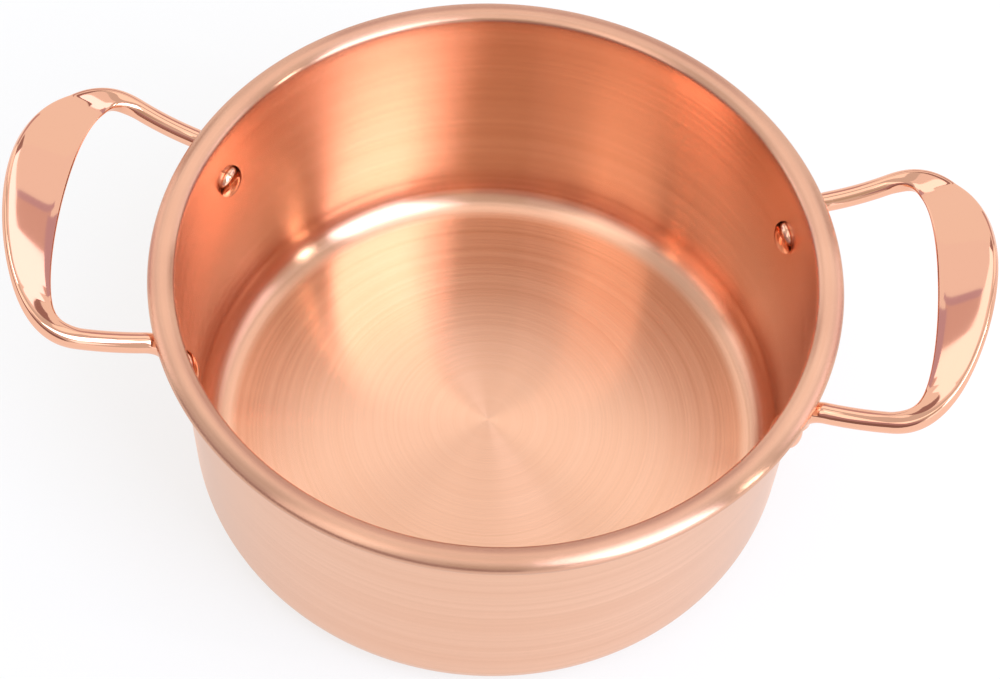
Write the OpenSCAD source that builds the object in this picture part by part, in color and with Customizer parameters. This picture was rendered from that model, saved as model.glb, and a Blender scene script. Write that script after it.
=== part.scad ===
// Two-handled copper cooking pot: a spun shell with a rolled rim, two upswept loop handles
// and the four rivets that hold them. The pot stands on z = 0, its axis is z and its handles
// lie along x.

/* [Pot] */
// Inside diameter of the pot
inside_d = 200; // [160:1:280]
// Height from the base to the top of the rim
pot_h = 99; // [80:1:160]
// Thickness of the copper sheet
sheet_t = 1.5; // [1:0.1:1.7]
// Inside radius where the wall runs into the floor
cove_r = 12; // [4:0.5:25]

/* [Rolled rim] */
// Width of the roll, from the inside of the wall outwards
rim_w = 8.4; // [7:0.1:11]
// Height of the roll
rim_h = 5.2; // [4.6:0.1:6.5]
// Radius of the inner and outer edges of the roll
rim_edge_r = 2; // [1.8:0.05:2.2]
// Slit between the free edge of the sheet and the wall
rim_slit = 0.4; // [0.2:0.05:0.8]

/* [Handle legs] */
// Diameter of the round legs
rod_d = 6.5; // [5:0.1:8]
// Angle at the pot's axis between a leg's foot and the middle of the handle
foot_angle = 21.8; // [16:0.1:30]
// Angle by which the two legs spread apart
leg_splay = 13.5; // [5:0.5:20]
// Rise of the leg where it comes out from under the rim
leg_rise = 10; // [5:0.5:25]
// Room between the rim's outer edge and the end of the bend under it
leg_clear = 3; // [2.6:0.1:6]
// Height by which the legs, once clear of the rim, stand above its underside
leg_tuck = 1.7; // [0:0.1:1.8]
// Straight length of a leg beyond its bend
leg_run = 19; // [12:0.5:20]

/* [Handle grip] */
// Length from the bend to the inner edge of the grip, in its middle
grip_reach = 34; // [32:0.5:50]
// Width of the flat grip in its middle
grip_w = 20; // [16:0.5:26]
// Thickness of the flat grip in its middle
grip_t = 2.2; // [1.8:0.1:5]
// Length over which the corners of the opening turn
opening_turn = 7.5; // [4:0.5:12]
// Length over which the outer corners of the grip turn
grip_turn = 16; // [6:0.5:18]
// Radius of the upward sweep of the whole handle
sweep_r = 74; // [65:1:200]
// Rise of the grip's middle above its two ends
grip_arch = 5; // [0:0.5:8]

/* [Feet and rivets] */
// Width of the foot on the wall
foot_w = 14; // [12.5:0.5:18]
// Thickness of the foot
foot_t = 3.2; // [2.8:0.1:5]
// Length of the foot below the rivet
foot_drop = 8.5; // [7:0.5:12]
// Distance from the top of the rim down to the rivets
rivet_drop = 24; // [21:0.5:32]
// Diameter of the rivet shank
shank_d = 5; // [4:0.1:6]
// Diameter of the rivet heads inside the pot
inner_head_d = 11.5; // [8:0.1:14]
// Height of the rivet heads inside the pot
inner_head_h = 3.2; // [1.5:0.1:4.5]
// Diameter of the formed heads on the feet
head_d = 9; // [7.5:0.1:9.5]
// Height of the formed heads
head_h = 3; // [1.5:0.1:3.5]
// Thickness of the foot under the formed head
seat_t = 2.2; // [1.5:0.1:2.6]
// Gap around a shank in its hole
hole_gap = 0.05; // [0.02:0.01:0.2]
// Gap around a formed head in its seat
seat_gap = 0.3; // [0.1:0.05:0.6]

/* [Hidden] */
$fn = 96;
copper = [0.89, 0.63, 0.48];
rose = [0.94, 0.71, 0.60];
rivet_rose = [0.85, 0.58, 0.46];
eps = 1;
// Counts along and around a handle
sides = 20;
foot_steps = 9;
bend_steps = 7;
grip_steps = 18;
// Roundness of the flat sections: 2 is an ellipse and more is squarer
grip_power = 8;
foot_power = 2.6;
// Fullness of the grip's outer edge, as a share of the legs' spread
grip_full = 0.46;
// Share of a half grip over which the round leg turns flat
flatten_share = 0.625;
// Fullness of the grip's arch: more than 1 runs smoothly out at its two ends
arch_power = 1.15;
// Smallest size of the foot's tip, as a share of its full size
tip_share = 0.3;

inside_r = inside_d / 2;
wall_r = inside_r + sheet_t;
rim_r = inside_r + rim_w;
rim_mid_z = pot_h - rim_h / 2;
rod_r = rod_d / 2;
rivet_z = pot_h - rivet_drop;

// Bend of a leg under the rim, from the wall to a point clear of the rim
rise_along = atan(tan(leg_rise) * cos(leg_splay));
bend_r = (rim_r + leg_clear - wall_r - rod_r) / (1 - sin(rise_along));
bend_end_z = pot_h - rim_h - rod_r + leg_tuck;
bend_start_z = bend_end_z - bend_r * cos(rise_along);
leg_start = (wall_r + rod_r) * [cos(foot_angle), sin(foot_angle)];
leg_way = [cos(leg_splay), sin(leg_splay)];
bend_end = leg_start + leg_way * bend_r * (1 - sin(rise_along));

function smooth(s) = s <= 0 ? 0 : s >= 1 ? 1 : s * s * (3 - 2 * s);
function mix(a, b, s) = a * (1 - s) + b * s;
function lift3(p, z) = [p[0], p[1], z];

// Edges of a leg in the flat loop: side is -1 for the inner edge and 1 for the outer one
function leg_edge(u, side) = [u, bend_end[1] + u * tan(leg_splay) + side * rod_r / cos(leg_splay)];

// The flat loop lies in u (outwards) and y, is swept up on a radius, and is arched between its legs
arch_y = leg_edge(0, -1)[1];
function arch(y) = grip_arch * pow(max(0, 1 - y * y / (arch_y * arch_y)), arch_power);
function sweep_angle(u) = leg_rise + u / sweep_r * 180 / PI;
function swept(p) = [
    bend_end[0] + sweep_r * (sin(sweep_angle(p[0])) - sin(leg_rise)),
    p[1],
    bend_end_z + sweep_r * (cos(leg_rise) - cos(sweep_angle(p[0]))) + arch(p[1])
];
function swept_normal(u) = [-sin(sweep_angle(u)), 0, cos(sweep_angle(u))];

function bezier(a, b, c, d, s) =
    let (r = 1 - s)
    a * r * r * r + b * 3 * r * r * s + c * 3 * r * s * s + d * s * s * s;
outer_reach = grip_reach + grip_w;
function inner_rail(s) = bezier(leg_edge(leg_run, -1), leg_edge(grip_reach - opening_turn, -1),
                                leg_edge(grip_reach, -1), [grip_reach, 0], s);
function outer_rail(s) = bezier(leg_edge(leg_run, 1), leg_edge(outer_reach - grip_turn, 1),
                                [outer_reach, leg_edge(outer_reach, 1)[1] * grip_full],
                                [outer_reach, 0], s);

// One section of the handle: centre, half-width and half-thickness vectors, roundness
function section(c, w, t, power) = [
    for (k = [0 : sides - 1])
        let (a = 360 * k / sides, x = cos(a), y = sin(a))
        c + w * sign(x) * pow(abs(x), 2 / power) + t * sign(y) * pow(abs(y), 2 / power)
];
function flat_section(inner, outer, half_t, power) =
    let (a = swept(inner), b = swept(outer), n = swept_normal((inner[0] + outer[0]) / 2))
    section((a + b) / 2, (b - a) / 2, n * half_t, power);

// Foot: a tongue on the wall, round at its lower end, that narrows upwards into the round leg
function foot_section(s) =
    let (z = mix(rivet_z - foot_drop, bend_start_z, s),
         below = max(0, (rivet_z - z) / foot_drop),
         tip = max(tip_share, sqrt(max(0, 1 - below * below))),
         up = smooth((z - rivet_z - head_d / 2) / (bend_start_z - rivet_z - head_d / 2)),
         a = mix(foot_angle, leg_splay, up),
         out = mix(0, rod_r, up),
         way = [cos(foot_angle), sin(foot_angle)])
    section(lift3(way * (wall_r + out), z),
            [-sin(a), cos(a), 0] * mix(foot_w / 2, rod_r, up) * tip,
            -[cos(a), sin(a), 0] * mix(foot_t, rod_r, up) * sqrt(tip),
            mix(foot_power, 2, up));
function bend_section(s) =
    let (a = mix(90, rise_along, s), p = leg_start + leg_way * bend_r * (1 - sin(a)))
    section(lift3(p, bend_start_z + bend_r * cos(a)),
            [-leg_way[1], leg_way[0], 0] * rod_r,
            [-leg_way[0] * sin(a), -leg_way[1] * sin(a), cos(a)] * rod_r, 2);
function grip_section(s) =
    let (f = smooth(s / flatten_share))
    flat_section(inner_rail(s), outer_rail(s), mix(rod_r, grip_t / 2, f), mix(2, grip_power, f));

half_handle = concat(
    [for (i = [0 : foot_steps - 1]) foot_section(i / foot_steps)],
    [for (i = [0 : bend_steps - 1]) bend_section(i / bend_steps)],
    [flat_section(leg_edge(0, -1), leg_edge(0, 1), rod_r, 2)],
    [for (i = [0 : grip_steps]) grip_section(i / grip_steps)]
);
other_half = [
    for (i = [len(half_handle) - 2 : -1 : 0])
        [for (p = half_handle[i]) [p[0], -p[1], p[2]]]
];

module sweep(rings) {
    last = len(rings) - 1;
    walls = [
        for (i = [0 : last - 1], k = [0 : sides - 1])
            let (a = i * sides + k, b = i * sides + (k + 1) % sides)
            each [[a, a + sides, b], [b, a + sides, b + sides]]
    ];
    ends = [[for (k = [0 : sides - 1]) k], [for (k = [sides - 1 : -1 : 0]) last * sides + k]];
    polyhedron(points = [for (r = rings) each r], faces = concat(walls, ends), convexity = 6);
}

// Places its children at a rivet: x runs along the rivet, outwards from the pot's axis
module at_rivet(angle) {
    rotate([0, 0, angle])
        translate([0, 0, rivet_z])
            children();
}

module rod_along_x(from, to, d) {
    translate([from, 0, 0])
        rotate([0, 90, 0])
            cylinder(h = to - from, d = d);
}

// Oval of four arcs: half-width, half-height and radius of its two ends
module oval(half_w, half_h, end_r) {
    end_x = half_w - end_r;
    crown_r = (end_x * end_x + half_h * half_h - end_r * end_r) / (2 * (half_h - end_r));
    meet_x = end_x * crown_r / (crown_r - end_r);
    for (side = [-1, 1])
        translate([side * end_x, 0])
            circle(r = end_r);
    intersection() {
        translate([-meet_x, -half_h])
            square([2 * meet_x, 2 * half_h]);
        translate([0, half_h - crown_r])
            circle(r = crown_r);
        translate([0, crown_r - half_h])
            circle(r = crown_r);
    }
}

// Half section of a round vessel with a rounded bottom edge
module vessel(r, corner_r, h) {
    square([r - corner_r, h]);
    translate([0, corner_r])
        square([r, h - corner_r]);
    translate([r - corner_r, corner_r])
        circle(r = corner_r);
}

module roll() {
    difference() {
        translate([inside_r + rim_w / 2, rim_mid_z])
            difference() {
                oval(rim_w / 2, rim_h / 2, rim_edge_r);
                oval(rim_w / 2 - sheet_t, rim_h / 2 - sheet_t, rim_edge_r - sheet_t);
            }
        translate([wall_r, rim_mid_z - rim_h])
            square([rim_slit, rim_h]);
    }
}

module pot_shell() {
    color(copper)
        difference() {
            rotate_extrude() {
                difference() {
                    vessel(wall_r, cove_r + sheet_t, rim_mid_z);
                    translate([0, sheet_t])
                        vessel(inside_r, cove_r, pot_h);
                }
                roll();
            }
            for (middle = [0, 180], side = [-1, 1])
                at_rivet(middle + side * foot_angle)
                    rod_along_x(inside_r - eps, wall_r + eps, shank_d + 2 * hole_gap);
        }
}

module handle() {
    color(rose)
        difference() {
            sweep(concat(half_handle, other_half));
            cylinder(h = pot_h, r = wall_r);
            for (side = [-1, 1])
                at_rivet(side * foot_angle) {
                    rod_along_x(wall_r - eps, wall_r + foot_t + eps, shank_d + 2 * hole_gap);
                    rod_along_x(wall_r + seat_t, wall_r + 2 * foot_t, head_d + 2 * seat_gap);
                }
        }
}

module left_handle() {
    mirror([1, 0, 0])
        handle();
}

module right_handle() {
    handle();
}

// Half section of a domed head that stands on y = 0, towards +y
module dome(d, h) {
    dome_r = (d * d / 4 + h * h) / (2 * h);
    intersection() {
        translate([0, h - dome_r])
            circle(r = dome_r);
        square([dome_r, h]);
    }
}

// Rivet with a domed head on the inside of the wall and a formed one on the foot
module rivet(angle) {
    inner_seat = sqrt(inside_r * inside_r - inner_head_d * inner_head_d / 4);
    outer_seat = wall_r + seat_t;
    color(rivet_rose)
        at_rivet(angle)
            rotate([0, 90, 0])
                rotate_extrude() {
                    translate([0, inner_seat])
                        square([shank_d / 2, outer_seat - inner_seat]);
                    translate([0, inner_seat])
                        mirror([0, 1])
                            dome(inner_head_d, inner_head_h);
                    translate([0, outer_seat])
                        dome(head_d, head_h);
                }
}

module rivet_left_front() {
    rivet(180 + foot_angle);
}

module rivet_left_back() {
    rivet(180 - foot_angle);
}

module rivet_right_front() {
    rivet(-foot_angle);
}

module rivet_right_back() {
    rivet(foot_angle);
}

pot_shell();
left_handle();
right_handle();
rivet_left_front();
rivet_left_back();
rivet_right_front();
rivet_right_back();
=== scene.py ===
# A two-handled copper cooking pot, finished and lit for its picture.
from math import asin, atan, atan2, cos, degrees, pi, radians, sin, tan

import bpy
import numpy as np
from mathutils import Matrix, Vector


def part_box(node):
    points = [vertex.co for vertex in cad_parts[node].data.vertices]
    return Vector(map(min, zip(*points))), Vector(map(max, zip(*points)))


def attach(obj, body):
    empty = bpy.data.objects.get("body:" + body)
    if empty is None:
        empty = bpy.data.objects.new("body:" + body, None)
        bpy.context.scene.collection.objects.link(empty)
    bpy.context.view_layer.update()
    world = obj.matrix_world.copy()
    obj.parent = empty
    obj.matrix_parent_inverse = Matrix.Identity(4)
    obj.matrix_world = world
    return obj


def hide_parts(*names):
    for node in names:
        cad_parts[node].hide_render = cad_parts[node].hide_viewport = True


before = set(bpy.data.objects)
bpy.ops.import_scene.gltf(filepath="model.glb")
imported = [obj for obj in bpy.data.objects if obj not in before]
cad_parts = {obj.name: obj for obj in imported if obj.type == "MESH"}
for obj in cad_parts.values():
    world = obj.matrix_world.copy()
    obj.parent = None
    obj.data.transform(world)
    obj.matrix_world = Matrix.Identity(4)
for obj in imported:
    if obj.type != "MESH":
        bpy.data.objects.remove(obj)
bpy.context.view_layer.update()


# Pot shell
# One round of copper sheet, spun on a lathe to a straight wall with a rounded inner corner, its top edge
# rolled outwards and down into a flat hollow bead. The spinning tool leaves fine rings all over it.
shell_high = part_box("pot_shell")[1]
pot_h = shell_high.z
rim_r = shell_high.x
rim_w = 0.0084
rim_h = 0.0052
rim_edge_r = 0.0020
rim_slit = 0.0004
sheet_t = 0.0015
cove_r = 0.012
centre_gap = 0.0006
inside_r = rim_r - rim_w
wall_r = inside_r + sheet_t
rim_mid = np.array([inside_r + rim_w / 2, pot_h - rim_h / 2])
worked_copper = (0.81, 0.445, 0.29, 1)
bright_copper = (0.92, 0.555, 0.39, 1)
# The colour below is painted shade for the bead, a darker brown where it mirrors dimmer surroundings.
painted_shade_copper = (0.66, 0.35, 0.24, 1)
fine_marks = {"Rings per metre": 1400, "Lines per metre": 700, "Breaks per metre": 6}
broad_marks = {"Rings per metre": 260, "Lines per metre": 160, "Breaks per metre": 3}
wall_gloss = {"To Min": 0.14, "To Max": 0.20}
floor_dulling = 0.05
bead_dulling = 0.07


def arc(centre, radius, first, last, steps):
    """Points on a circle: the centre plus the radius times cosine and sine of even angles, in degrees."""
    turn = np.radians(np.linspace(first, last, steps + 1))
    return np.column_stack([centre[0] + radius * np.cos(turn), centre[1] + radius * np.sin(turn)])


def straight(start, end, steps):
    """Points evenly spaced on a line, without its two ends."""
    share = np.linspace(0, 1, steps + 1)[1:-1, None]
    return np.asarray(start) * (1 - share) + np.asarray(end) * share


def shell_profile():
    """Half section of the shell as one line in radius and height: out along the underside, up the outside,
    round the hollow of the bead, out through its slit, over the bead and down the inside to the axis. The
    bead is two shallow arcs, above and below, that run smoothly into a small circle at each end."""
    end_x = rim_w / 2 - rim_edge_r
    crown_r = (end_x**2 + (rim_h / 2) ** 2 - rim_edge_r**2) / (rim_h - 2 * rim_edge_r)
    crown_drop = crown_r - rim_h / 2
    lean = degrees(atan2(end_x, crown_drop))
    above, below = rim_mid + [0, crown_drop], rim_mid - [0, crown_drop]
    inner_end, outer_end = rim_mid - [end_x, 0], rim_mid + [end_x, 0]
    lip = rim_mid[0] - wall_r - rim_slit
    corner_r = cove_r + sheet_t
    hollow_end_r, hollow_crown_r = rim_edge_r - sheet_t, crown_r - sheet_t
    return np.concatenate([
        straight([0, 0], [wall_r - corner_r, 0], 14),
        arc([wall_r - corner_r, corner_r], corner_r, 270, 360, 18),
        straight([wall_r, corner_r], [wall_r, rim_mid[1]], 16),
        arc(inner_end, hollow_end_r, 180, 90 + lean, 4),
        arc(below, hollow_crown_r, 90 + lean, 90 - lean, 6)[1:],
        arc(outer_end, hollow_end_r, 90 - lean, lean - 90, 8)[1:],
        arc(above, hollow_crown_r, 270 + lean, 270 - degrees(asin(lip / hollow_crown_r)), 6)[1:],
        arc(above, crown_r, 270 - degrees(asin(lip / crown_r)), 270 + lean, 12),
        arc(outer_end, rim_edge_r, lean - 90, 90 - lean, 16)[1:],
        arc(below, crown_r, 90 - lean, 90 + lean, 14)[1:],
        arc(inner_end, rim_edge_r, 90 + lean, 180, 8)[1:],
        straight([inside_r, rim_mid[1]], [inside_r, sheet_t + cove_r], 16),
        arc([inside_r - cove_r, sheet_t + cove_r], cove_r, 360, 270, 18),
        straight([inside_r - cove_r, sheet_t], [centre_gap, sheet_t], 30),
        [[centre_gap, sheet_t]],
    ])


def turned(profile, steps):
    """Carries a profile round the z axis: each point becomes a ring, its radius times cosine and sine of the
    turn, at its own height."""
    turn = np.linspace(0, 2 * pi, steps, endpoint=False)
    radius, height = profile[:, :1], profile[:, 1:]
    return np.stack([radius * np.cos(turn), radius * np.sin(turn), height + 0 * turn], axis=-1)


def skin(name, rings, material, node):
    """Closes a row of rings to a solid: four-sided faces between neighbouring rings, and a fan of triangles
    from each end ring to its own middle. The map runs along the row in u, in metres, and once round in v."""
    count, around = rings.shape[:2]
    points = np.concatenate([rings.reshape(-1, 3), rings[[0, -1]].mean(axis=1)])
    along = np.concatenate([[0], np.cumsum(np.linalg.norm(np.diff(rings[:, 0], axis=0), axis=1))])
    i, k = np.meshgrid(np.arange(count - 1), np.arange(around), indexing="ij")
    a, b = i * around + k, i * around + (k + 1) % around
    walls = np.stack([a, b, b + around, a + around], axis=-1).reshape(-1, 4)
    u0, u1, v0, v1 = along[i], along[i + 1], k / around, (k + 1) / around
    wall_map = np.stack([u0, v0, u0, v1, u1, v1, u1, v0], axis=-1).reshape(-1)
    k = np.arange(around)
    first = np.column_stack([(k + 1) % around, k, np.full(around, count * around)])
    last = first[:, [1, 0, 2]] + [(count - 1) * around, (count - 1) * around, 1]
    u0, u1, v0, v1 = np.full(around, along[0]), np.full(around, along[-1]), k / around, (k + 1) / around
    first_map = np.column_stack([u0, v1, u0, v0, u0, v0]).reshape(-1)
    last_map = np.column_stack([u1, v0, u1, v1, u1, v0]).reshape(-1)
    mesh = bpy.data.meshes.new(name)
    mesh.from_pydata(points.tolist(), [], walls.tolist() + first.tolist() + last.tolist())
    mesh.uv_layers.new(name="lay").data.foreach_set("uv", np.concatenate([wall_map, first_map, last_map]))
    mesh.polygons.foreach_set("use_smooth", np.ones(len(mesh.polygons), dtype=bool))
    mesh.materials.append(material)
    piece = bpy.data.objects.new(name, mesh)
    bpy.context.collection.objects.link(piece)
    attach(piece, "root")
    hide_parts(node)


def new_material(name):
    """A material with its node tree and its Principled shader."""
    material = bpy.data.materials.new(name)
    material.use_nodes = True
    return material, material.node_tree, material.node_tree.nodes["Principled BSDF"]


def add_node(tree, kind, values=None, **settings):
    """Adds a node to a tree: its own settings by name first, then its sockets' values by name or number."""
    made = tree.nodes.new(kind)
    for name, value in settings.items():
        setattr(made, name, value)
    for socket, value in (values or {}).items():
        made.inputs[socket].default_value = value
    return made


def spun_lines():
    """Streaks round the axis, as a node group: noise read by distance from the axis and by height, and by
    place at a far coarser scale, so that each streak runs round the pot and fades in and out on its way."""
    group = bpy.data.node_groups.new("spun_lines", "ShaderNodeTree")
    for name in ("Rings per metre", "Lines per metre", "Breaks per metre"):
        group.interface.new_socket(name, in_out="INPUT", socket_type="NodeSocketFloat")
    group.interface.new_socket("Depth", in_out="OUTPUT", socket_type="NodeSocketFloat")
    join = group.links.new
    given = add_node(group, "NodeGroupInput")
    place = add_node(group, "ShaderNodeTexCoord")
    parts = add_node(group, "ShaderNodeSeparateXYZ")
    flat = add_node(group, "ShaderNodeVectorMath", {1: (1, 1, 0)}, operation="MULTIPLY")
    radius = add_node(group, "ShaderNodeVectorMath", operation="LENGTH")
    across = add_node(group, "ShaderNodeCombineXYZ")
    noise = add_node(group, "ShaderNodeTexNoise", {"Scale": 1, "Detail": 2}, noise_dimensions="4D")
    join(place.outputs["Object"], parts.inputs["Vector"])
    join(place.outputs["Object"], flat.inputs[0])
    join(flat.outputs["Vector"], radius.inputs[0])
    for source, rate, target in (
        (radius.outputs["Value"], "Rings per metre", across.inputs["X"]),
        (parts.outputs["Z"], "Lines per metre", across.inputs["Y"]),
        (parts.outputs["X"], "Breaks per metre", across.inputs["Z"]),
        (parts.outputs["Y"], "Breaks per metre", noise.inputs["W"]),
    ):
        product = add_node(group, "ShaderNodeMath", operation="MULTIPLY")
        join(source, product.inputs[0])
        join(given.outputs[rate], product.inputs[1])
        join(product.outputs["Value"], target)
    join(across.outputs["Vector"], noise.inputs["Vector"])
    result = add_node(group, "NodeGroupOutput")
    join(noise.outputs["Fac"], result.inputs["Depth"])
    return group


def spun_copper():
    """Satin copper: a wide sheen across the tool marks and a narrow one along them, and the marks themselves
    in shade, gloss and relief, fine ones over broad ones. The floor is scoured and the bead worn, both duller
    than the wall, and the bead is painted darker brown in patches: painted shade for its dimmer reflections."""
    material, tree, shader = new_material("spun_copper")
    join = tree.links.new
    shader.inputs["Metallic"].default_value = 1
    shader.inputs["Anisotropic"].default_value = 1
    lines = spun_lines()
    fine = add_node(tree, "ShaderNodeGroup", fine_marks, node_tree=lines)
    broad = add_node(tree, "ShaderNodeGroup", broad_marks, node_tree=lines)
    marks = add_node(tree, "ShaderNodeMix", {"Factor": 0.35})
    join(fine.outputs["Depth"], marks.inputs["A"])
    join(broad.outputs["Depth"], marks.inputs["B"])
    depth = add_node(tree, "ShaderNodeMapRange", {"From Min": 0.25, "From Max": 0.75})
    join(marks.outputs["Result"], depth.inputs["Value"])
    place = add_node(tree, "ShaderNodeTexCoord")
    parts = add_node(tree, "ShaderNodeSeparateXYZ")
    join(place.outputs["Object"], parts.inputs["Vector"])

    gloss = add_node(tree, "ShaderNodeMapRange", wall_gloss)
    join(depth.outputs["Result"], gloss.inputs["Value"])
    on_floor = {"From Min": sheet_t, "From Max": cove_r, "To Min": floor_dulling, "To Max": 0}
    scoured = add_node(tree, "ShaderNodeMapRange", on_floor)
    join(parts.outputs["Z"], scoured.inputs["Value"])
    rough = add_node(tree, "ShaderNodeMath", operation="ADD")
    join(gloss.outputs["Result"], rough.inputs[0])
    join(scoured.outputs["Result"], rough.inputs[1])
    up_bead = {"From Min": pot_h - rim_h, "From Max": pot_h - rim_h / 2}
    on_bead = add_node(tree, "ShaderNodeMapRange", up_bead)
    join(parts.outputs["Z"], on_bead.inputs["Value"])
    worn = add_node(tree, "ShaderNodeMath", {1: bead_dulling}, operation="MULTIPLY_ADD")
    join(on_bead.outputs["Result"], worn.inputs[0])
    join(rough.outputs["Value"], worn.inputs[2])
    join(worn.outputs["Value"], shader.inputs["Roughness"])

    shade = add_node(tree, "ShaderNodeMix", {"A": worked_copper, "B": bright_copper}, data_type="RGBA")
    join(depth.outputs["Result"], shade.inputs["Factor"])
    # Painted shade: the bead's colour is darkened towards brown in patches, standing in for the dimmer
    # reflections along the bead.
    patches = add_node(tree, "ShaderNodeTexNoise", {"Scale": 25})
    join(place.outputs["Object"], patches.inputs["Vector"])
    painted_shade = add_node(tree, "ShaderNodeMath", operation="MULTIPLY")
    join(on_bead.outputs["Result"], painted_shade.inputs[0])
    join(patches.outputs["Fac"], painted_shade.inputs[1])
    tone = add_node(tree, "ShaderNodeMix", {"B": painted_shade_copper}, data_type="RGBA")
    join(painted_shade.outputs["Value"], tone.inputs["Factor"])
    join(shade.outputs["Result"], tone.inputs["A"])
    join(tone.outputs["Result"], shader.inputs["Base Color"])

    relief = add_node(tree, "ShaderNodeBump", {"Strength": 0.06, "Distance": 0.00002})
    join(depth.outputs["Result"], relief.inputs["Height"])
    join(relief.outputs["Normal"], shader.inputs["Normal"])
    grain = add_node(tree, "ShaderNodeTangent", direction_type="UV_MAP", uv_map="lay")
    join(grain.outputs["Tangent"], shader.inputs["Tangent"])
    return material


skin("pot", turned(shell_profile(), 360), spun_copper(), "pot_shell")


# Handles
# Each is one forged loop of pale copper alloy, polished to a mirror. A flat foot lies on the wall, turns
# into a round leg under the bead, and the two legs flatten into a wide grip that sweeps upwards.
rod_r = 0.00325
foot_angle = radians(21.8)
foot_w = 0.014
foot_t = 0.0032
foot_drop = 0.0085
foot_power = 2.6
foot_tip = 0.3
rivet_z = pot_h - 0.024
head_d = 0.009
leg_splay = radians(13.5)
leg_rise = radians(10)
leg_clear = 0.003
leg_tuck = 0.0017
leg_run = 0.019
grip_reach = 0.034
grip_w = 0.020
grip_t = 0.0022
grip_turn = 0.016
grip_full = 0.46
grip_flat_by = 0.625
grip_power = 8
grip_arch = 0.005
arch_power = 1.15
opening_turn = 0.0075
sweep_r = 0.074
rose_color = (0.915, 0.495, 0.335, 1)
rose_gloss = {"To Min": 0.03, "To Max": 0.08}


def smooth(s):
    """0 below 0, 1 above 1, and 3 s squared less 2 s cubed between."""
    s = np.clip(s, 0, 1)
    return s * s * (3 - 2 * s)


def mix(a, b, s):
    """a where s is 0, b where s is 1, and evenly between."""
    return a * (1 - s) + b * s


def sections(centre, width, depth, power, sides):
    """Rings round a row of centres: half-width and half-depth vectors times cosine and sine, drawn out so
    that the two, each raised to the power, add up to 1. A power of 2 is an ellipse, a higher one squarer."""
    turn = np.linspace(0, 2 * pi, sides, endpoint=False)
    power = power[:, None]
    reach = (np.abs(np.cos(turn)) ** power + np.abs(np.sin(turn)) ** power) ** (-1 / power)
    x, y = (np.cos(turn) * reach)[..., None], (np.sin(turn) * reach)[..., None]
    return centre[:, None] + width[:, None] * x + depth[:, None] * y


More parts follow.
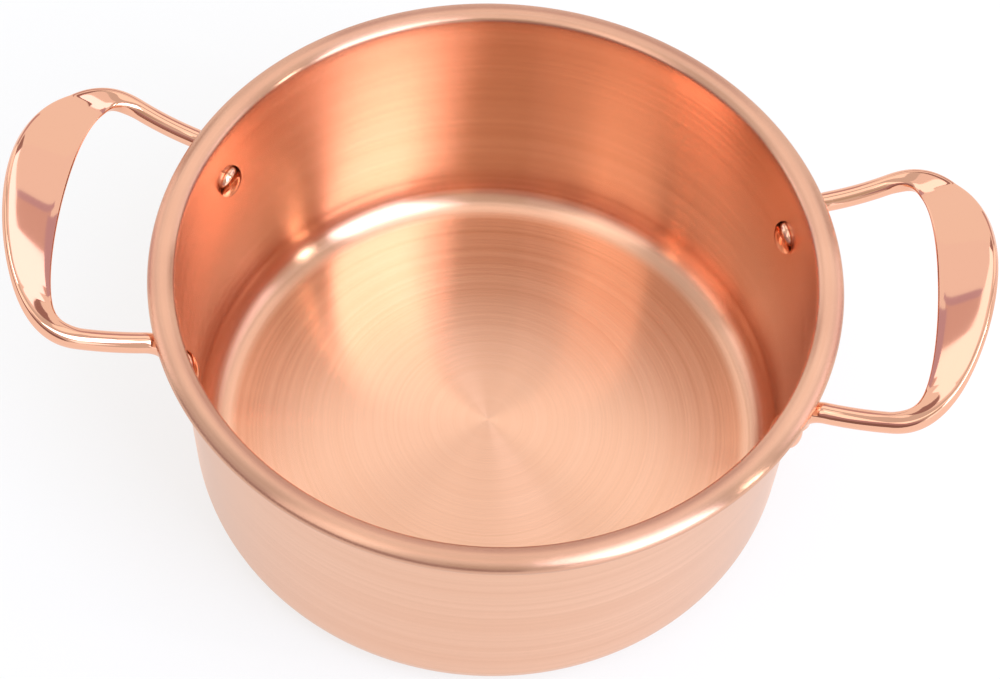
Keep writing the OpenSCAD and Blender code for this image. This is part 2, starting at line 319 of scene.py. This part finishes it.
def handle_rings(sides):
    """The right handle as a row of sections: up the foot, round the bend under the bead, along the leg and
    across half of the grip between two curved rails, then the same mirrored."""
    rise_along = atan(tan(leg_rise) * cos(leg_splay))
    bend_r = (rim_r + leg_clear - wall_r - rod_r) / (1 - sin(rise_along))
    bend_end_z = pot_h - rim_h - rod_r + leg_tuck
    bend_start_z = bend_end_z - bend_r * cos(rise_along)
    foot_way = np.array([cos(foot_angle), sin(foot_angle)])
    leg_way = np.array([cos(leg_splay), sin(leg_splay)])
    leg_start = (wall_r + rod_r) * foot_way
    bend_end = leg_start + leg_way * bend_r * (1 - sin(rise_along))

    def leg_edge(u, side):
        """The leg's edge laid flat: u outwards, and across by u times the splay's tangent and half a rod."""
        return np.array([u, bend_end[1] + u * tan(leg_splay) + side * rod_r / cos(leg_splay)])

    arch_y = leg_edge(0, -1)[1]

    def swept(p):
        """Lifts flat points onto the sweep, outwards by sine and upwards by cosine of an angle that grows on
        the way out, and adds an arch that is highest in the middle and gone at the legs."""
        angle = leg_rise + p[:, 0] / sweep_r
        arch = grip_arch * np.maximum(0, 1 - (p[:, 1] / arch_y) ** 2) ** arch_power
        out = bend_end[0] + sweep_r * (np.sin(angle) - sin(leg_rise))
        up = bend_end_z + sweep_r * (cos(leg_rise) - np.cos(angle)) + arch
        return np.column_stack([out, p[:, 1], up])

    def rail(a, b, c, d, s):
        """Cubic curve that leaves a towards b and comes to d from c."""
        r, s = 1 - s[:, None], s[:, None]
        return a * r**3 + 3 * b * r * r * s + 3 * c * r * s * s + d * s**3

    def between(inner, outer, half_t, power):
        """Sections from an inner to an outer edge, with their depth square to the sweep."""
        a, b = swept(inner), swept(outer)
        lean = leg_rise + (inner[:, 0] + outer[:, 0]) / 2 / sweep_r
        normal = np.column_stack([-np.sin(lean), 0 * lean, np.cos(lean)])
        return sections((a + b) / 2, (b - a) / 2, normal * half_t[:, None], power, sides)

    z = mix(rivet_z - foot_drop, bend_start_z, np.linspace(0, 1, 30))
    below = np.maximum(0, (rivet_z - z) / foot_drop)
    tip = np.maximum(foot_tip, np.sqrt(np.maximum(0, 1 - below**2)))
    up = smooth((z - rivet_z - head_d / 2) / (bend_start_z - rivet_z - head_d / 2))
    angle = mix(foot_angle, leg_splay, up)
    out = wall_r + rod_r * up
    half_w, half_t = mix(foot_w / 2, rod_r, up) * tip, mix(foot_t, rod_r, up) * np.sqrt(tip)
    foot = sections(
        np.column_stack([foot_way[0] * out, foot_way[1] * out, z]),
        np.column_stack([-np.sin(angle), np.cos(angle), 0 * z]) * half_w[:, None],
        -np.column_stack([np.cos(angle), np.sin(angle), 0 * z]) * half_t[:, None],
        mix(foot_power, 2, up), sides)

    angle = np.linspace(pi / 2, rise_along, 18)[1:]
    out = leg_start + leg_way * (bend_r * (1 - np.sin(angle)))[:, None]
    back = -np.sin(angle)
    bend = sections(
        np.column_stack([out, bend_start_z + bend_r * np.cos(angle)]),
        np.tile([-leg_way[1], leg_way[0], 0], (len(angle), 1)) * rod_r,
        np.column_stack([leg_way[0] * back, leg_way[1] * back, np.cos(angle)]) * rod_r,
        np.full(len(angle), 2.0), sides)

    run = np.linspace(0, leg_run, 14)[1:-1]
    round_r, round_power = np.full(len(run), rod_r), np.full(len(run), 2.0)
    leg = between(leg_edge(run, -1).T, leg_edge(run, 1).T, round_r, round_power)

    s = np.linspace(0, 1, 120)
    outer_reach = grip_reach + grip_w
    inner_rail = rail(leg_edge(leg_run, -1), leg_edge(grip_reach - opening_turn, -1),
                      leg_edge(grip_reach, -1), np.array([grip_reach, 0]), s)
    outer_rail = rail(leg_edge(leg_run, 1), leg_edge(outer_reach - grip_turn, 1),
                      np.array([outer_reach, leg_edge(outer_reach, 1)[1] * grip_full]),
                      np.array([outer_reach, 0]), s)
    flatness = smooth(s / grip_flat_by)
    grip = between(inner_rail, outer_rail, mix(rod_r, grip_t / 2, flatness), mix(2, grip_power, flatness))

    half = np.concatenate([foot, bend, leg, grip])
    rings = np.concatenate([half, half[-2::-1] * [1, -1, 1]])
    # The foot is bedded on the wall: what would lie nearer to the pot's axis is pushed out to the wall.
    from_axis = np.linalg.norm(rings[..., :2], axis=-1, keepdims=True)
    rings[..., :2] *= np.maximum(1, wall_r / from_axis)
    return rings


def polished_rose():
    """Mirror polish with a faint haze where hands and cloths have been."""
    material, tree, shader = new_material("polished_rose")
    join = tree.links.new
    shader.inputs["Base Color"].default_value = rose_color
    shader.inputs["Metallic"].default_value = 1
    place = add_node(tree, "ShaderNodeTexCoord")
    haze = add_node(tree, "ShaderNodeTexNoise", {"Scale": 60, "Detail": 4})
    join(place.outputs["Object"], haze.inputs["Vector"])
    dull = add_node(tree, "ShaderNodeMapRange", rose_gloss)
    join(haze.outputs["Fac"], dull.inputs["Value"])
    join(dull.outputs["Result"], shader.inputs["Roughness"])
    return material


rose = polished_rose()
handle = handle_rings(64)
skin("handle_right", handle, rose, "right_handle")
skin("handle_left", handle[:, ::-1] * [-1, 1, 1], rose, "left_handle")


# Rivets
# Solid rivets of the same alloy, driven through the wall and the foot: a tall polished dome inside, and a
# dome formed over the foot outside.
shank_r = 0.0025
head_h = 0.003
inner_head_d = 0.0115
inner_head_h = 0.0032
inner_seat = np.sqrt(inside_r**2 - inner_head_d**2 / 4)
outer_seat = wall_r + 0.0022


def dome(seat, d, h, side):
    """Half section of a domed head from its rim to near its top: half the width times cosine out from the
    rivet's axis, the height times sine from the seat. The side is -1 towards the pot's axis and 1 away."""
    turn = np.radians(np.linspace(0, 89, 21))
    return np.column_stack([d / 2 * np.cos(turn), seat + side * h * np.sin(turn)])


rivet = turned(np.concatenate([
    dome(inner_seat, inner_head_d, inner_head_h, -1)[::-1],
    [[shank_r, inner_seat], [shank_r, outer_seat]],
    dome(outer_seat, head_d, head_h, 1),
]), 64)
rivet = np.stack([rivet[..., 2], rivet[..., 1], -rivet[..., 0]], axis=-1)
for name, turn in (
    ("rivet_right_back", foot_angle),
    ("rivet_right_front", -foot_angle),
    ("rivet_left_back", pi - foot_angle),
    ("rivet_left_front", pi + foot_angle),
):
    spin = np.array(Matrix.Rotation(turn, 3, "Z"))
    skin(name + "_polished", rivet @ spin.T + [0, 0, rivet_z], rose, name)


# Studio
# A pale table in a white surround, soft lights above and in front, and cards that stand off the picture for
# the polished metal to mirror. The camera looks down from above the table's front edge.
table_half = 3.0
table_white = (0.93, 0.93, 0.93, 1)
table_glow = 0.7
surround_glow = 0.7
table_corners = [(x * table_half, y * table_half, 0) for x, y in ((-1, -1), (1, -1), (1, 1), (-1, 1))]
table_mesh = bpy.data.meshes.new("table")
table_mesh.from_pydata(table_corners, [], [range(4)])
table = bpy.data.objects.new("table", table_mesh)
bpy.context.collection.objects.link(table)


def white_paper():
    """Matt white that looks part lit and part plain white to the camera, to mirrors and through glass, so
    that it stays pale and still keeps the shadow."""
    material, tree, shader = new_material("white_paper")
    join = tree.links.new
    shader.inputs["Base Color"].default_value = table_white
    shader.inputs["Roughness"].default_value = 0.9
    shader.inputs["Specular IOR Level"].default_value = 0
    ray = add_node(tree, "ShaderNodeLightPath")
    mirrored = add_node(tree, "ShaderNodeMath", operation="MAXIMUM")
    join(ray.outputs["Is Camera Ray"], mirrored.inputs[0])
    join(ray.outputs["Is Glossy Ray"], mirrored.inputs[1])
    seen = add_node(tree, "ShaderNodeMath", operation="MAXIMUM")
    join(mirrored.outputs["Value"], seen.inputs[0])
    join(ray.outputs["Is Transmission Ray"], seen.inputs[1])
    share = add_node(tree, "ShaderNodeMath", {1: table_glow}, operation="MULTIPLY")
    join(seen.outputs["Value"], share.inputs[0])
    white = add_node(tree, "ShaderNodeEmission")
    blend = add_node(tree, "ShaderNodeMixShader")
    join(share.outputs["Value"], blend.inputs["Fac"])
    join(shader.outputs["BSDF"], blend.inputs[1])
    join(white.outputs["Emission"], blend.inputs[2])
    join(blend.outputs["Shader"], tree.nodes["Material Output"].inputs["Surface"])
    return material


table_mesh.materials.append(white_paper())

surround = bpy.data.worlds.new("surround")
surround.use_nodes = True
sky = surround.node_tree.nodes["Background"]
sky.inputs["Color"].default_value = (1, 1, 1, 1)
sky.inputs["Strength"].default_value = surround_glow
bpy.context.scene.world = surround


def soft_light(name, middle, aim, size, strength, tint=(1, 1, 1)):
    """A flat soft light that faces its aim. Its strength is how bright its face looks: the lamp's power is
    that times pi times its area. The camera doesn't see it."""
    lamp = bpy.data.lights.new(name, "AREA")
    lamp.shape = "RECTANGLE"
    lamp.size, lamp.size_y = size
    lamp.energy = strength * pi * size[0] * size[1]
    lamp.color = tint
    holder = bpy.data.objects.new(name, lamp)
    holder.location = middle
    holder.rotation_euler = (Vector(aim) - Vector(middle)).to_track_quat("-Z", "Y").to_euler()
    holder.visible_camera = False
    bpy.context.collection.objects.link(holder)


pot_middle = (0, 0, 0.05)
soft_light("key", (0.635, -0.485, 0.94), pot_middle, (0.56, 0.95), 3.5, (0.9, 1, 1.3))
soft_light("glint", (0.980, -0.199, 0.65), pot_middle, (0.07, 0.30), 12)
soft_light("fill", (-0.51, -0.51, 1.00), pot_middle, (0.40, 0.80), 0.75)
soft_light("top", (0, -0.14, 1.34), pot_middle, (0.90, 0.60), 0.6)
soft_light("top_back", (0, 0.69, 1.15), pot_middle, (1.30, 0.60), 0.55)
soft_light("front_right", (0.83, -0.83, 0.30), pot_middle, (0.90, 0.50), 1.0, (0.8, 0.85, 1))
soft_light("backdrop", (0, 1.30, 0.60), (0, 0, 0.60), (4.4, 1.2), 0.28)


def card(name, corners, color):
    """A flat card of one brightness, which only mirrors see."""
    mesh = bpy.data.meshes.new(name)
    mesh.from_pydata(corners, [], [range(len(corners))])
    material, tree, _ = new_material(name)
    glow = add_node(tree, "ShaderNodeEmission", {"Color": (*color, 1)})
    tree.links.new(glow.outputs["Emission"], tree.nodes["Material Output"].inputs["Surface"])
    mesh.materials.append(material)
    piece = bpy.data.objects.new(name, mesh)
    piece.visible_camera = False
    piece.visible_diffuse = False
    piece.visible_shadow = False
    bpy.context.collection.objects.link(piece)


# At each side stands what the grips mirror, the nearest card first: a rail and a post, a dim screen, a
# bright window and the wall that it is in. Outlines are in y and z, and the left ones hang lower by the drop.
mauve = (0.58, 0.46, 0.60)
dim = (0.72, 0.57, 0.58)
pale = (0.97, 0.95, 0.97)
for side, word, drop, glow in (
    (1, "right", 0.0, (1.8, 1.75, 2.05)),
    (-1, "left", 0.10, (1.6, 1.6, 1.7)),
):
    for away, name, color, outline in (
        (1.180, "rail", mauve, [(0.80, 0.05), (0.40, 0.05), (0.40, 0.74), (0.72, 0.64)]),
        (1.184, "post", mauve, [(0.843, 0.55), (0.80, 0.55), (0.69, 0.73), (0.745, 0.73)]),
        (1.188, "screen", dim, [(0.77, 0.60), (0.52, 0.69), (0.48, 0.81), (0.74, 0.72)]),
        (1.192, "window", glow, [(0.525, 0.68), (0.12, 0.68), (0.12, 1.20), (0.35, 1.20), (0.50, 1.12),
                                 (1.27, 1.12), (1.27, 0.79), (0.74, 0.735), (0.48, 0.81)]),
        (1.196, "wall", pale, [(0.12, 0.1), (1.3, 0.1), (1.3, 1.5), (0.12, 1.5)]),
    ):
        card(word + "_" + name, [(side * away, y, z - drop) for y, z in outline], color)

# In front on the left stands what the bead and the outside of the pot mirror, in two heights.
for name, color, bottom, top in (
    ("front_low", (0.26, 0.18, 0.18), 0.0, 0.45),
    ("front_high", (0.45, 0.33, 0.38), 0.45, 0.9),
):
    card(name, [(-1.55, -0.1, bottom), (0.35, -1.45, bottom), (0.35, -1.45, top), (-1.55, -0.1, top)], color)

# Behind are the dark corners of the room and a dim band between them, and over the camera is its stand.
for name, color, left, right, bottom, top in (
    ("right_corner", (0.36, 0.25, 0.26), 0.8, 1.19, 0.75, 1.25),
    ("left_corner", (0.36, 0.25, 0.26), -0.8, -1.19, 0.75, 1.25),
    ("back_band", (0.58, 0.45, 0.50), -0.45, 0.45, 0.5, 1.3),
):
    card(name, [(left, 1.28, bottom), (right, 1.28, bottom), (right, 1.28, top), (left, 1.28, top)], color)
card("camera_stand", [(0.36, -0.93, 0.8), (-0.12, -0.99, 0.8), (-0.12, -0.99, 1.6), (0.36, -0.93, 1.6)],
     (0.55, 0.53, 0.46))

camera_aim = Vector((0.0023, 0.0020, 0.050))
camera_far = 0.6544
camera_height = radians(56.46)
camera_turn = radians(2.50)
camera_roll = radians(3.79)
lens = bpy.data.cameras.new("camera")
lens.sensor_width = 36
lens.lens = 70.86
camera = bpy.data.objects.new("camera", lens)
level = cos(camera_height)
back = Vector((level * sin(camera_turn), -level * cos(camera_turn), sin(camera_height)))
upright = back.to_track_quat("Z", "Y").to_matrix()
camera.location = camera_aim + back * camera_far
camera.rotation_euler = (upright @ Matrix.Rotation(camera_roll, 3, "Z")).to_euler()
bpy.context.collection.objects.link(camera)
bpy.context.scene.camera = camera
bpy.context.scene.view_settings.view_transform = "Standard"
